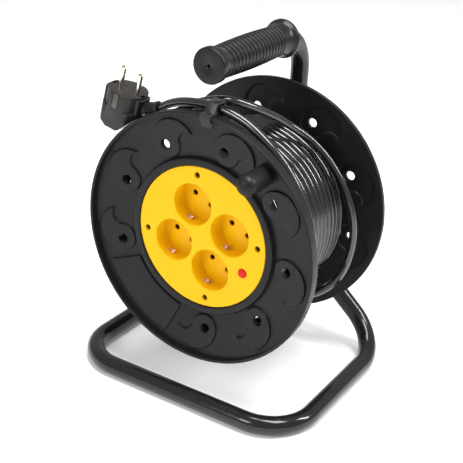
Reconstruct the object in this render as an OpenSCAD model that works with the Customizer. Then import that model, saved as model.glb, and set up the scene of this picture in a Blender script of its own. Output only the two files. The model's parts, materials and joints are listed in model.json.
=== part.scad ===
// Extension cord reel: a plastic drum with four earthed sockets, turning on a
// stand that is bent from one steel tube, with its cord wound on and its plug parked.
// Lengths are in millimetres. X is to the right, Y to the rear and Z up. The
// floor is z = 0, and the origin is under the middle of the reel.
// Pieces are drawn from the middle of the front rim, then put on the stand.

/* [Drum] */
// Radius of both flanges
flange_r = 120; // [110:1:130]
// Distance between the outer faces of the two flange rims
drum_depth = 145; // [130:1:160]
// Outer radius of the barrel that the cord is wound on
barrel_r = 72; // [70:0.5:80]
// Wall of the barrel
barrel_wall = 2.5; // [2:0.1:4]
// Thickness of the flange webs
web_t = 2.5; // [2:0.1:3.5]
// Height of the rim that stands in front of the front web
front_rim_h = 6.5; // [5:0.1:7]
// Depth of the whole front rim
front_rim_depth = 10; // [10:0.1:12]
// How far the front web is dished in from its edge to the barrel
dish = 6.9; // [6:0.1:8]
// Height of the comma pads on the flanges
pad_h = 2.2; // [1:0.1:2.4]
// Radius of the circle that the holes in the comma pads are on
pad_ring_r = 90.5; // [90:0.5:92]
// Radius of the holes in the comma pads
pad_hole_r = 4.6; // [3:0.1:5]
// How far the drum has been turned clockwise at rest
drum_angle = 25.2; // [0:0.1:45]

/* [Sockets] */
// Radius of the yellow face
face_r = 67.7; // [67:0.1:67.9]
// Thickness of the yellow face
face_t = 3; // [2.5:0.1:4]
// Distance between the middles of two neighbouring sockets
socket_pitch = 44.7; // [44.5:0.1:45]
// Radius of a socket well
well_r = 19.75; // [19.5:0.05:20]
// Depth of a socket well
well_depth = 17.5; // [17:0.1:18]
// Wall of a socket well
well_wall = 1.5; // [1.2:0.1:1.6]
// Distance between the two pins of a plug
pin_pitch = 19; // [18.9:0.1:19.1]
// Radius of the holes that the pins go in
pin_hole_r = 2.75; // [2.6:0.05:3]
// Radius of the reset button
button_r = 4.3; // [3.5:0.1:4.4]
// How far the reset button is pressed
button_travel = 2; // [1:0.1:3]

/* [Stand] */
// Outer radius of the steel tube
tube_r = 9; // [8:0.5:10]
// Wall of the steel tube
tube_wall = 1.5; // [1:0.1:2]
// Height of the reel's axis over the floor
axis_h = 158; // [154:1:175]
// Height of the handle over the reel's axis
handle_h = 159.3; // [155:0.1:175]
// Half of the width between the base tubes
base_half_w = 119.9; // [110:0.1:135]
// Height of the fork under the reel's axis
fork_drop = 45; // [35:1:60]
// Distance from the front rim back to the column
column_y = 175.6; // [170:0.1:190]
// Distance from the front rim forward to the front base tube
base_front = 20.2; // [10:0.1:40]
// Radius of the bends at the base
base_bend_r = 45; // [30:1:50]
// Radius of the bends at the top and at the fork
top_bend_r = 38; // [30:1:42]
// Length of the rubber grip
grip_l = 125.6; // [110:0.1:126]
// Radius of the grip's front end
grip_r = 16.2; // [14:0.1:17]

/* [Crank] */
// Radius of the circle that the crank knob goes round on
knob_ring_r = 102; // [100:0.5:104]
// Radius of the crank knob
knob_r = 9.6; // [8:0.1:10]
// Length of the crank knob
knob_l = 36; // [30:1:45]
// Radius of the pin that the knob turns on
knob_pin_r = 3; // [2.5:0.1:3.5]

/* [Axle] */
// Radius of the axle bolt
axle_r = 6; // [5:0.5:7]
// Wall of the two hub bushes
bush_wall = 3; // [2:0.5:4]
// Wall of the hub
hub_wall = 5; // [4:0.5:7]

/* [Cord] */
// Diameter of the cord
cord_d = 7.8; // [7.6:0.1:8]
// Distance from one turn of the cord to the next
cord_pitch = 7.85; // [7.8:0.05:8]
// Number of turns in each of the two layers
turns = 14; // [10:1:14]

/* [Hidden] */
$fn = 64;

gap = 0.2;          // between pieces that fit together loosely
snug = 0.05;        // between pieces that fit together closely
through = 1;        // how far a cut runs past the face that it goes through

// The drum, along Y from the front rim
rim_t = 3;
web_y = front_rim_h;
dish_y = web_y + dish;
web_back_y = dish_y + web_t;
rear_plate_y = drum_depth - 2.3 - web_t;
rear_back_y = rear_plate_y + web_t;
ring_r = face_r + 0.6;
ring_wall = 7.2;
ledge_y = dish_y + 0.6;
ledge_t = 3;
ledge_r = 55;
spigot_l = 8;
spigot_wall = 2.5;
spigot_r = barrel_r - barrel_wall - gap;
face_y = ledge_y - face_t;
pads = 9;
pad_step = 360 / pads;
front_pad_angle = 21.6;
rear_pad_angle = 11.7;
label_pad = 6;
knob_angle = 76.2;
knob_seat_y = web_at(knob_ring_r + knob_r / 2) - pad_h;
knob_y = knob_seat_y - 0.4;
knob_tip_wall = 8;

// Comma pads: a big half disc, a round head about the hole, and a round bite
comma_big_r = 22;
comma_head_r = 13.5;
comma_bite_r = 9.5;
comma_bite_at = [24, -5];
comma_reach = comma_big_r - (comma_head_r - 1.5);

// Label pad
label_in_r = 78;
label_out_r = 111;
label_half_angle = 23;
label_angle = 256.2;
label_skew = 1.4;

// Screws
screw_r = 1.5;
screw_head_r = 2.75;
screw_head_h = 2;
face_screw_ring_r = 59.6;
face_screw_angle = 31.7;
face_post_l = 5;
face_post_r = 4.4;
face_boss_r = 6.4;
face_boss_l = 16;
face_screw_l = 9;
face_screw_seat = 1.5;
tie_ring_r = 62.5;
tie_angle = face_screw_angle + 45;
tie_r = 2;
tie_post_l = 20;
tie_head_r = 4;
tie_head_h = 2.6;

// Sockets
half_pitch = socket_pitch / 2;
well_floor_t = 2;
mouth_l = 0.9;
mouth_w = 0.8;
well_floor_y = face_y + well_depth;
well_back_y = well_floor_y + well_floor_t;
well_out_r = well_r + well_wall;
clip_w = 6.4;
clip_t = 0.8;
clip_slot = 0.4;
clip_y = face_y + 5;
clip_l = 11;
clip_reach = 3;
sleeve_y = well_back_y + 1;
sleeve_l = 14;
sleeve_r = 3.4;
sleeve_in_r = 2.45;
bar_w = 5;
bar_t = 1;
earth_y = well_back_y + 1.5;
carrier_y = sleeve_y + sleeve_l + 1;
carrier_t = 2.5;
carrier_r = 54;
carrier_wall = 2;
carrier_skirt = 13;
carrier_post_r = 4;
carrier_post_at = 44;

// Reset button and its thermal cut-out
button_at = 50.4;
button_proud = 1.2;
button_cap_l = 6.2;
button_stem_r = 2;
button_stem_l = 10;
cutout_w = 10.6;
cutout_h = 14;
cutout_l = 16;
cutout_mid = 48.9;
cutout_recess = 7;
spring_r = 3.3;
spring_wire_r = 0.4;
spring_turns = 4;

// Hub and axle
hub_y = 88.5;
bush_l = 14;
bush_out_r = axle_r + snug + bush_wall;
hub_r = bush_out_r + snug + hub_wall;
bush_flange_t = 1;
hub_back_y = rear_back_y + bush_flange_t;
hub_ribs = 6;
hub_rib_t = 2.5;
hub_rib_l = 20;
hub_rib_r = 60;
friction_t = 1.2;
axle_head_r = 10.4;
axle_head_h = 7.5;
axle_washer_t = 2.4;
saddle_r = 11;
saddle_front_y = column_y - tube_r - 6;
saddle_back_y = column_y + tube_r + 3;
nut_h = 10.8;
axle_end = 1;

// Stand
handle_front = 11.4;
grip_cap_t = 2.6;
grip_body_r = 14.4;
grip_flare_r = 18.4;
grip_rings = 17;
grip_ring_pitch = 5.7;
grip_groove = 1;

// Clip
clip_angle = 86.5;
clip_width = 11;
clip_wall = 1.8;

// Cord
cord_r = cord_d / 2;
winding_y = web_back_y + 0.5;
winding_l = turns * cord_pitch;
layer_1_r = barrel_r + cord_r + 0.1;
layer_2_r = layer_1_r + sqrt(cord_d * cord_d - cord_pitch * cord_pitch / 4);
entry_y = winding_y + winding_l - cord_pitch / 2;
entry_angle = 200;
lead_r = 57;
clamp_y = carrier_y + carrier_t + 20;
core_r = 1.3;
clamp_size = [12, 8, 24];
clamp_screw_at = 8.5;
live_end = [-half_pitch - pin_pitch / 2, sleeve_y + sleeve_l, 4];
neutral_end = [-half_pitch + pin_pitch / 2, sleeve_y + sleeve_l, -4];
earth_end = [-half_pitch, earth_y + clip_t, 0];

// The loose end of the cord, from the winding's rear to the plug's boot, each point
// as [angle round the reel, radius, distance behind the front rim]
tail_route = [[-104, 86, 122], [-90, 89, 123], [-75, 96, 122], [-60, 103, 121], [-45, 106, 120],
    [-30, 106, 118], [-15, 104, 116], [0, 102, 115], [15, 99, 114], [30, 96, 113], [45, 95, 111],
    [58, 96, 106], [67, 100, 96], [74, 107, 82], [80, 115, 65], [85, 122, 48], [90, 125, 36],
    [97, 123, 31], [106, 118, 30], [118, 111, 28], [132, 104, 26], [147, 99, 24], [162, 97.5, 22.5],
    [180, 99.5, 22], [199, 102, 22], [217, 102.5, 22], [235, 102, 22], [253, 100.5, 22],
    [272, 98.5, 22], [291, 94.5, 22], [310, 92.5, 21.5], [325, 96, 20], [340, 104, 17.5],
    [354, 110.5, 15.5], [370, 113, 14.5], [390, 115, 14.5], [405, 117.5, 14.5], [420, 120.5, 14.5],
    [433, 123.5, 14.5], [446, 124.6, 14.5], [458, 124.4, 16], [468, 123.6, 19.5], [478.7, 121.6, 24]];
tail_sides = 8;

// Plug
plug_at = [-93, 24, 117];
plug_tilt = 12.8;
plug_r = 18.5;
plug_puck_l = 17;
plug_block_r = 21;
plug_block_w = 33;
plug_block = [[-19.5, -16], [19.5, -16], [19.5, -20], [8, -34], [5, -36], [-7, -36], [-18, -29]];
plug_wing = [5, 18, 30];
plug_wing_at = 18.5;
plug_notch = 6;
pin_r = 2.4;
pin_l = 19;
pin_root = 8;
pin_root_r = 2;
pin_neck = 0.6;
boot_from = [24.5, 0, -9.2];
boot_to = [36, 0, -2.5];
boot_root_l = 8;
boot_root_r = 5;

// ---------------------------------------------------------------- helpers

function polar(r, a) = [r * cos(a), 0, r * sin(a)];
function unit(v) = v / norm(v);

// Puts what is drawn from the middle of the front rim on the stand
module on_stand() {
    front = knob_y - knob_l;
    back = saddle_back_y + nut_h + axle_end;
    translate([0, -(front + back) / 2, axis_h]) children();
}

module on_drum() {
    on_stand() rotate([0, drum_angle, 0]) children();
}

// A flat outline in X and Z, made solid from y0 to y1
module plate(y0, y1) {
    translate([0, y1, 0]) rotate([90, 0, 0]) linear_extrude(y1 - y0) children();
}

// An outline of [radius, y], turned about the reel's axis
module turned() {
    rotate([-90, 0, 0]) rotate_extrude($fn = 128) children();
}

// A round bar along Y from y0 to y1
module bar_y(y0, y1, r) {
    translate([0, y0, 0]) rotate([-90, 0, 0]) cylinder(h = y1 - y0, r = r);
}

module rod(a, b, r) {
    v = b - a;
    l = norm(v);
    translate(a) rotate([0, acos(v.z / l), atan2(v.y, v.x)]) cylinder(h = l, r = r);
}

// A round bar that starts along Z. After each of its lengths it turns towards its own X by
// turns[i], once it has been rolled by rolls[i]
module bent_bar(lengths, turns, rolls, bends, r, i = 0) {
    cylinder(h = lengths[i], r = r);
    if (i < len(turns))
        translate([0, 0, lengths[i]]) rotate([0, 0, rolls[i]]) translate([bends[i], 0, 0]) {
            rotate([90, 0, 180]) rotate_extrude(angle = turns[i]) translate([bends[i], 0])
                circle(r = r);
            rotate([0, turns[i], 0]) translate([-bends[i], 0, 0])
                bent_bar(lengths, turns, rolls, bends, r, i + 1);
        }
}

// Points of a tube with round rings, and its faces, swept along path p
function along(p, i) = unit(p[min(i + 1, len(p) - 1)] - p[max(i - 1, 0)]);
function ring_at(p, i, r, sides, start) =
    let (t = along(p, i), side = unit(cross(t, start)), up = cross(side, t))
    [for (k = [0:sides - 1]) p[i] + r * (side * cos(k * 360 / sides) + up * sin(k * 360 / sides))];
module swept(p, r, sides, start = [0, 1, 0]) {
    n = len(p);
    points = [for (i = [0:n - 1]) each ring_at(p, i, r, sides, start)];
    walls = [for (i = [0:n - 2], k = [0:sides - 1])
        let (a = i * sides, b = (k + 1) % sides) each
            [[a + k, a + b, a + sides + b], [a + k, a + sides + b, a + sides + k]]];
    first = [for (k = [0:sides - 1]) sides - 1 - k];
    last = [for (k = [0:sides - 1]) (n - 1) * sides + k];
    polyhedron(points, concat([first], walls, [last]));
}

// Halves the steps of a route with a smooth curve through its points
function smooth_point(p, i) =
    let (a = p[max(i - 1, 0)], b = p[i], c = p[i + 1], d = p[min(i + 2, len(p) - 1)])
    (9 * (b + c) - a - d) / 16;
function smoothed(p) = concat([for (i = [0:len(p) - 2]) each [p[i], smooth_point(p, i)]],
    [p[len(p) - 1]]);
function reel_point(q) = polar(q[1], q[0]) + [0, q[2], 0];

// ---------------------------------------------------------------- stand

// Where the front of the front web is at radius r
function web_at(r) = web_y + dish * (flange_r - rim_t - r) / (flange_r - rim_t - 77);

leg_rise = axis_h - tube_r - fork_drop;
leg_slope = atan2(leg_rise, base_half_w);
leg_l = norm([base_half_w, leg_rise]);
base_lengths = [base_half_w - base_bend_r, column_y + base_front - 2 * base_bend_r,
    leg_l - base_bend_r - tube_r];
column_end = -fork_drop - 2.4 * tube_r;
upright_lengths = [handle_h - top_bend_r - column_end,
    column_y - handle_front - grip_cap_t - top_bend_r];

// Half of the base tube, or of its bore, from the middle of the front up to the column
module base_half(r) {
    translate([0, -base_front, tube_r - axis_h]) rotate([0, 90, 0])
        bent_bar(base_lengths, [90, 90], [90, leg_slope], [base_bend_r, base_bend_r], r);
}

// The base and both legs are one tube, whose ends are cut hollow and welded to the column
module base_tube() {
    color("#15161a") on_stand() difference() {
        union() {
            base_half(tube_r);
            mirror([1, 0, 0]) base_half(tube_r);
        }
        base_half(tube_r - tube_wall);
        mirror([1, 0, 0]) base_half(tube_r - tube_wall);
        translate([0, column_y, -fork_drop - 4 * tube_r]) cylinder(h = 8 * tube_r, r = tube_r + snug);
    }
}

module upright_bar(r) {
    translate([0, column_y, column_end])
        bent_bar(upright_lengths, [90], [-90], [top_bend_r], r);
}

// The column and the handle are one tube too
module upright_tube() {
    color("#15161a") on_stand() difference() {
        upright_bar(tube_r);
        upright_bar(tube_r - tube_wall);
        bar_y(column_y - 2 * tube_r, column_y + 2 * tube_r, axle_r + snug);
    }
}

// Closes the lower end of the column
module column_cap() {
    color("#1b1b1d") on_stand() translate([0, column_y, column_end]) {
        translate([0, 0, -2]) cylinder(h = 2, r = tube_r);
        cylinder(h = 8, r = tube_r - tube_wall - snug);
    }
}

module handle_grip() {
    rings_y = 14;
    flare_y = grip_l - 12;
    body = [for (i = [0:grip_rings - 1], s = [0, 0.42, 0.5, 0.92])
        let (y = rings_y + (i + s) * grip_ring_pitch,
            bulge = 1.2 * sin(180 * (i + s) / grip_rings))
        [grip_body_r + bulge - (s == 0.5 || s == 0.92 ? grip_groove : 0), y]];
    color("#26272b") on_stand() translate([0, handle_front, handle_h]) turned() difference() {
        polygon(concat([[1.5, 0], [grip_r - 1.5, 0], [grip_r, 1.5], [grip_r, 7],
                [grip_body_r, 11]], body,
            [[grip_body_r, flare_y], [grip_flare_r - 1, flare_y + 7.5],
                [grip_flare_r, flare_y + 9.5], [grip_flare_r, grip_l], [tube_r + snug, grip_l],
                [tube_r + snug, grip_cap_t], [1.5, grip_cap_t]]));
    }
}

module axle_bolt() {
    color("#c8cacd") on_stand() {
        head_y = hub_y - bush_flange_t - axle_washer_t;
        bar_y(head_y, saddle_back_y + nut_h + axle_end, axle_r);
        translate([0, head_y - axle_head_h, 0]) rotate([-90, 0, 0])
            cylinder(h = axle_head_h, r = axle_head_r, $fn = 6);
    }
}

module axle_nut() {
    color("#c8cacd") on_stand() difference() {
        translate([0, saddle_back_y, 0]) rotate([-90, 0, 0])
            cylinder(h = nut_h, r = axle_head_r, $fn = 6);
        bar_y(saddle_back_y - through, saddle_back_y + nut_h + through, axle_r);
    }
}

module saddle_washers() {
    color("#b9bbbe") on_stand() difference() {
        union() {
            bar_y(saddle_front_y, column_y - tube_r * 0.6, saddle_r);
            bar_y(column_y + tube_r * 0.6, saddle_back_y, saddle_r);
        }
        translate([0, column_y, -2 * saddle_r]) cylinder(h = 4 * saddle_r, r = tube_r + snug);
        bar_y(saddle_front_y - through, saddle_back_y + through, axle_r + gap);
    }
}

module spacer_sleeve() {
    color("#b9bbbe") on_stand() difference() {
        bar_y(hub_back_y + friction_t + gap, saddle_front_y, axle_r + 2.5);
        bar_y(hub_back_y, saddle_front_y + through, axle_r + gap);
    }
}

module friction_washer() {
    color("#d9c9a0") on_stand() difference() {
        bar_y(hub_back_y + gap / 2, hub_back_y + gap / 2 + friction_t, hub_r - 2);
        bar_y(hub_back_y - through, hub_back_y + friction_t + through, axle_r + gap);
    }
}

// ---------------------------------------------------------------- drum

// One comma pad, with its hole at the middle and its tail to the right
module comma() {
    difference() {
        union() {
            intersection() {
                translate([comma_reach, 0]) circle(r = comma_big_r);
                translate([comma_reach - comma_big_r, 0]) square([2 * comma_big_r, comma_big_r]);
            }
            translate([comma_reach - comma_big_r + comma_head_r, 0]) circle(r = comma_head_r);
        }
        translate(comma_bite_at) circle(r = comma_bite_r);
    }
}

module label_outline() {
    inset = 3;
    steps = 8;
    offset(r = inset) offset(delta = -inset) polygon(concat(
        [for (i = [-steps:steps]) let (a = label_angle - label_skew + i * label_half_angle / steps)
            label_out_r * [cos(a), sin(a)]],
        [for (i = [-steps:steps]) let (a = label_angle + label_skew - i * label_half_angle / steps)
            label_in_r * [cos(a), sin(a)]]));
}

// The comma pads' outlines in X and Z, all round but for the label pad's place
module commas(first, skip = -1) {
    for (k = [0:pads - 1])
        if (k != skip)
            rotate(first + k * pad_step - 90) translate([0, pad_ring_r]) comma();
}

module pad_holes(first, y0, y1, skip = -1) {
    for (k = [0:pads - 1])
        if (k != skip)
            translate(polar(pad_ring_r, first + k * pad_step)) bar_y(y0, y1, pad_hole_r);
}

module at_tie_screws() {
    for (k = [0:3])
        translate(polar(tie_ring_r, tie_angle + 90 * k)) children();
}

module at_face_screws() {
    for (k = [0:3])
        translate(polar(face_screw_ring_r, face_screw_angle + 90 * k)) children();
}

module front_flange() {
    web_out_r = flange_r - rim_t;
    color("#2b2c2f") on_drum() difference() {
        union() {
            turned() polygon([[ledge_r, ledge_y], [ring_r, ledge_y], [ring_r, face_y - 0.4],
                [ring_r + 1, face_y - 1.4], [ring_r + ring_wall - 1, face_y - 1.4],
                [ring_r + ring_wall, face_y], [ring_r + ring_wall + 1, web_at(ring_r + ring_wall + 1)],
                [web_out_r, web_y], [web_out_r, 1], [web_out_r + 1, 0], [flange_r - 1, 0],
                [flange_r, 1], [flange_r, front_rim_depth], [web_out_r, front_rim_depth],
                [web_out_r - 1, web_y + web_t], [barrel_r - barrel_wall, web_back_y],
                [spigot_r, web_back_y],
                [spigot_r, web_back_y + spigot_l],
                [spigot_r - spigot_wall, web_back_y + spigot_l],
                [spigot_r - spigot_wall, ledge_y + ledge_t],
                [ledge_r, ledge_y + ledge_t]]);
            intersection() {
                plate(0, web_back_y - 1) {
                    commas(front_pad_angle, label_pad);
                    label_outline();
                }
                turned() polygon([[76, web_at(76) - pad_h], [web_out_r - 1, web_at(web_out_r - 1) - pad_h],
                    [web_out_r - 1, web_y + web_t / 2], [76, web_at(76) + web_t / 2]]);
            }
            translate(polar(knob_ring_r, knob_angle)) bar_y(knob_seat_y, web_back_y - 2, knob_r);
            at_tie_screws() bar_y(ledge_y + ledge_t / 2, ledge_y + tie_post_l, tie_r + 2);
            at_face_screws() bar_y(ledge_y + ledge_t / 2, ledge_y + face_boss_l, face_boss_r);
        }
        pad_holes(front_pad_angle, -through, web_back_y + through, label_pad);
        translate(polar(knob_ring_r, knob_angle)) {
            bar_y(0, web_back_y, knob_pin_r + snug);
            bar_y(web_back_y - 2, web_back_y + through, knob_r);
        }
        at_tie_screws() bar_y(ledge_y + ledge_t, ledge_y + tie_post_l + through, tie_r + snug);
        at_face_screws() {
            bar_y(ledge_y - through, ledge_y + face_post_l, face_post_r + gap);
            bar_y(ledge_y, ledge_y + face_boss_l - 2, screw_r + snug);
        }
    }
}

module rear_flange() {
    color("#2b2c2f") on_drum() difference() {
        union() {
            turned() polygon([[bush_out_r + snug, hub_y], [hub_r, hub_y], [hub_r, rear_plate_y],
                [spigot_r - spigot_wall, rear_plate_y],
                [spigot_r - spigot_wall, rear_plate_y - spigot_l],
                [spigot_r, rear_plate_y - spigot_l],
                [spigot_r, rear_plate_y], [flange_r, rear_plate_y],
                [flange_r, drum_depth - 1], [flange_r - 1, drum_depth],
                [flange_r - rim_t + 1, drum_depth], [flange_r - rim_t, drum_depth - 1],
                [flange_r - rim_t, rear_back_y], [bush_out_r + snug, rear_back_y]]);
            plate(rear_back_y - 0.1, rear_back_y + pad_h) commas(rear_pad_angle);
            for (k = [0:hub_ribs - 1])
                rotate([0, 15 + k * 360 / hub_ribs, 0])
                    translate([hub_r - 1, rear_plate_y - hub_rib_l, -hub_rib_t / 2])
                    cube([hub_rib_r - hub_r, hub_rib_l, hub_rib_t]);
        }
        intersection() {
            plate(rear_plate_y - through, rear_plate_y + pad_h - 1) commas(rear_pad_angle);
            turned() translate([76, 0]) square([flange_r - rim_t - 77, 2 * drum_depth]);
        }
        pad_holes(rear_pad_angle, rear_plate_y - through, drum_depth + through);
        at_tie_screws() bar_y(rear_plate_y - through, rear_back_y + through, tie_r + gap);
    }
}

module drum_barrel() {
    color("#2b2c2f") on_drum() difference() {
        bar_y(web_back_y, rear_plate_y, barrel_r, $fn = 128);
        bar_y(web_back_y - through, rear_plate_y + through, barrel_r - barrel_wall, $fn = 128);
        translate([0, entry_y, 0]) rotate([0, 90 - entry_angle, 0])
            cylinder(h = 2 * barrel_r, r = cord_r + 1.2);
    }
}

module tie_screws() {
    color("#c8cacd") on_drum() at_tie_screws() {
        bar_y(ledge_y + ledge_t + 2, rear_back_y, tie_r);
        bar_y(rear_back_y, rear_back_y + tie_head_h, tie_head_r);
    }
}

module hub_bushes() {
    color("#e9e5da") on_drum() {
        turned() polygon([[axle_r + snug, hub_y - bush_flange_t], [hub_r - 1, hub_y - bush_flange_t],
            [hub_r - 1, hub_y], [bush_out_r, hub_y], [bush_out_r, hub_y + bush_l],
            [axle_r + snug, hub_y + bush_l]]);
        turned() polygon([[axle_r + snug, rear_back_y - bush_l], [bush_out_r, rear_back_y - bush_l],
            [bush_out_r, rear_back_y], [hub_r - 1, rear_back_y], [hub_r - 1, hub_back_y],
            [axle_r + snug, hub_back_y]]);
    }
}

module retaining_washer() {
    y = hub_y - bush_flange_t - axle_washer_t;
    color("#b9bbbe") on_stand() difference() {
        bar_y(y, y + axle_washer_t - gap / 2, hub_r - 1);
        bar_y(y - through, y + axle_washer_t + through, axle_r + snug);
    }
}

// ---------------------------------------------------------------- sockets

// Puts children at the middle of each of the four sockets
module at_sockets() {
    for (x = [-half_pitch, half_pitch], z = [-half_pitch, half_pitch])
        translate([x, 0, z]) children();
}

module at_carrier_screws() {
    for (p = [[0, 0], [-carrier_post_at, 0], [0, carrier_post_at], [0, -carrier_post_at]])
        translate([p[0], 0, p[1]]) children();
}

module socket_face() {
    color("#f5c416") on_drum() difference() {
        union() {
            bar_y(face_y, ledge_y, face_r, $fn = 128);
            at_face_screws() bar_y(face_y + 1, ledge_y + face_post_l, face_post_r);
            at_carrier_screws() bar_y(face_y + 1, carrier_y, carrier_post_r);
        }
        at_sockets() {
            bar_y(face_y - through, ledge_y + through, well_r);
            translate([0, face_y - 0.01, 0]) rotate([-90, 0, 0])
                cylinder(h = mouth_l, r1 = well_r + mouth_w, r2 = well_r);
        }
        at_face_screws() {
            bar_y(face_y - through, ledge_y + face_post_l - face_screw_seat, screw_head_r + gap);
            bar_y(face_y, ledge_y + face_post_l + through, screw_r + gap);
        }
        at_carrier_screws() bar_y(carrier_y - 10, carrier_y + through, screw_r + snug);
        translate([button_at, 0, 0]) bar_y(face_y - through, ledge_y + through, button_r + gap);
    }
}

// A well is a cup that is welded on behind the face. i and j say which of the four it is
module socket_well(i, j) {
    color("#d9a400") on_drum() translate([i * half_pitch, 0, j * half_pitch]) difference() {
        bar_y(ledge_y, well_back_y, well_out_r);
        bar_y(ledge_y - through, well_floor_y, well_r);
        for (s = [-1, 1]) {
            translate([s * pin_pitch / 2, 0, 0])
                bar_y(well_floor_y - through, well_back_y + through, pin_hole_r);
            translate([-clip_w / 2 - clip_slot, clip_y - clip_slot,
                    s * (well_r + well_wall / 2) - well_wall])
                cube([clip_w + 2 * clip_slot, clip_l + 2 * clip_slot, 2 * well_wall]);
        }
    }
}

module well_upper() {
    socket_well(-1, 1);
}

module well_right() {
    socket_well(1, 1);
}

module well_left() {
    socket_well(-1, -1);
}

module well_lower() {
    socket_well(1, -1);
}

module face_screws() {
    y = ledge_y + face_post_l - face_screw_seat;
    color("#c8cacd") on_drum() at_face_screws() {
        bar_y(y - screw_head_h, y, screw_head_r);
        bar_y(y, y + face_screw_l, screw_r);
    }
}

module contact_carrier() {
    color("#1d1e20") on_drum() difference() {
        bar_y(carrier_y - carrier_skirt, carrier_y + carrier_t, carrier_r);
        bar_y(carrier_y - carrier_skirt - through, carrier_y, carrier_r - carrier_wall);
        at_carrier_screws() bar_y(carrier_y - through, carrier_y + carrier_t + through, screw_r + gap);
        for (p = [live_end, neutral_end, earth_end])
            translate([p.x, 0, p.z])
                bar_y(carrier_y - through, carrier_y + carrier_t + through, core_r + gap);
    }
}

module carrier_screws() {
    y = carrier_y + carrier_t;
    color("#c8cacd") on_drum() at_carrier_screws() {
        bar_y(y - carrier_t - 7, y, screw_r);
        bar_y(y, y + screw_head_h, screw_head_r);
    }
}

// A brass strip with a sleeve for one pin of each socket, and a cross bar at height z
module contact_strip(columns, z) {
    y = sleeve_y + sleeve_l - bar_t;
    reach = abs(z) + bar_w / 2;
    color("#c9a24a") on_drum() difference() {
        union() {
            for (x = columns) {
                for (s = [-1, 1])
                    translate([x, 0, s * half_pitch]) bar_y(sleeve_y, sleeve_y + sleeve_l, sleeve_r);
                translate([x - bar_w / 2, y, z > 0 ? -half_pitch : -reach])
                    cube([bar_w, bar_t, half_pitch + reach]);
            }
            translate([columns[0], y, z - bar_w / 2]) cube([columns[1] - columns[0], bar_t, bar_w]);
        }
        for (x = columns, s = [-1, 1])
            translate([x, 0, s * half_pitch])
                bar_y(sleeve_y - through, sleeve_y + sleeve_l + through, sleeve_in_r);
    }
}

module live_strip() {
    contact_strip([-half_pitch - pin_pitch / 2, half_pitch - pin_pitch / 2], 36);
}

module neutral_strip() {
    contact_strip([-half_pitch + pin_pitch / 2, half_pitch + pin_pitch / 2], -36);
}

// One earth contact: a bent nose that reaches into the well from its leg, which is at
// distance root from the well's middle, on side s
module earth_nose(s, root) {
    tip = well_r - clip_reach;
    middle = clip_y + clip_l / 2;
    translate([-clip_w / 2, 0, 0]) rotate([90, 0, 90]) linear_extrude(clip_w)
        polygon([for (p = [[clip_y, root], [middle, tip], [clip_y + clip_l, root],
            [clip_y + clip_l - 1.4, root], [middle, tip + 1.2], [clip_y + 1.4, root]])
            [p[0], s * p[1]]]);
}

module earth_strip() {
    outer = half_pitch + well_out_r + clip_slot;
    color("#b8683a") on_drum() {
        for (x = [-half_pitch, half_pitch]) {
            translate([x - clip_w / 2, earth_y, -outer - clip_t])
                cube([clip_w, clip_t, 2 * (outer + clip_t)]);
            for (z = [-outer - clip_t, -clip_t / 2, outer])
                translate([x - clip_w / 2, clip_y, z]) cube([clip_w, earth_y + clip_t - clip_y, clip_t]);
            for (z = [-half_pitch, half_pitch]) {
                translate([x, 0, z]) earth_nose(sign(z), well_out_r + clip_slot + clip_t / 2);
                translate([x, 0, z]) earth_nose(-sign(z), half_pitch);
            }
        }
        translate([-half_pitch, earth_y, 8]) cube([2 * half_pitch, clip_t, 6]);
    }
}

module thermal_cutout() {
    color("#3a3a3e") on_drum() difference() {
        translate([cutout_mid - cutout_w / 2, ledge_y, -cutout_h / 2])
            cube([cutout_w, cutout_l, cutout_h]);
        translate([button_at, 0, 0]) {
            bar_y(ledge_y - through, ledge_y + cutout_recess, button_r + 0.4);
            bar_y(ledge_y, ledge_y + cutout_recess + 7, button_stem_r + gap);
        }
    }
}

module reset_button() {
    y = face_y - button_proud;
    color("#d8201c") on_drum() translate([button_at, 0, 0]) {
        translate([0, y, 0]) rotate([-90, 0, 0]) cylinder(h = 0.5, r1 = button_r - 0.5, r2 = button_r);
        bar_y(y + 0.5, y + button_cap_l, button_r);
        bar_y(y + button_cap_l, y + button_cap_l + button_stem_l - button_travel, button_stem_r);
    }
}

module button_spring() {
    y0 = face_y - button_proud + button_cap_l + spring_wire_r;
    y1 = ledge_y + cutout_recess - spring_wire_r;
    steps = 12 * spring_turns;
    color("#c8cacd") on_drum() translate([button_at, 0, 0])
        swept([for (i = [0:steps]) [spring_r * cos(i * 30), y0 + (y1 - y0) * i / steps,
            spring_r * sin(i * 30)]], spring_wire_r, 6);
}

// ---------------------------------------------------------------- wiring

module cord_grommet() {
    color("#1b1b1d") on_drum() translate([0, entry_y, 0]) rotate([0, 90 - entry_angle, 0])
        difference() {
            union() {
                translate([0, 0, barrel_r - barrel_wall - 1.6]) cylinder(h = 1.2, r = cord_r + 3);
                translate([0, 0, barrel_r - barrel_wall - 0.6])
                    cylinder(h = barrel_wall, r = cord_r + 1.2 - snug);
            }
            cylinder(h = 2 * barrel_r, r = cord_r + snug);
        }
}

// The cord inside the barrel, from the grommet forward to its clamp
module inner_lead() {
    bend = 11;
    start_r = barrel_r - barrel_wall - 0.5;
    color("#101012") on_drum() translate(polar(start_r, entry_angle) + [0, entry_y, 0])
        rotate([0, -90 - entry_angle, 0])
        bent_bar([start_r - lead_r - bend, entry_y - clamp_y + clamp_size.y / 2 - bend],
            [90], [-90], [bend], cord_r);
}

module cord_clamp() {
    color("#3a3a3e") on_drum() translate(polar(lead_r, entry_angle) + [0, clamp_y, 0])
        rotate([0, -entry_angle, 0]) difference() {
            cube(clamp_size, center = true);
            rotate([-90, 0, 0]) cylinder(h = 20, r = cord_r + snug, center = true);
            for (z = [-clamp_screw_at, clamp_screw_at])
                translate([-10, 0, z]) rotate([0, 90, 0]) cylinder(h = 20, r = screw_r + snug);
        }
}

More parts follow.
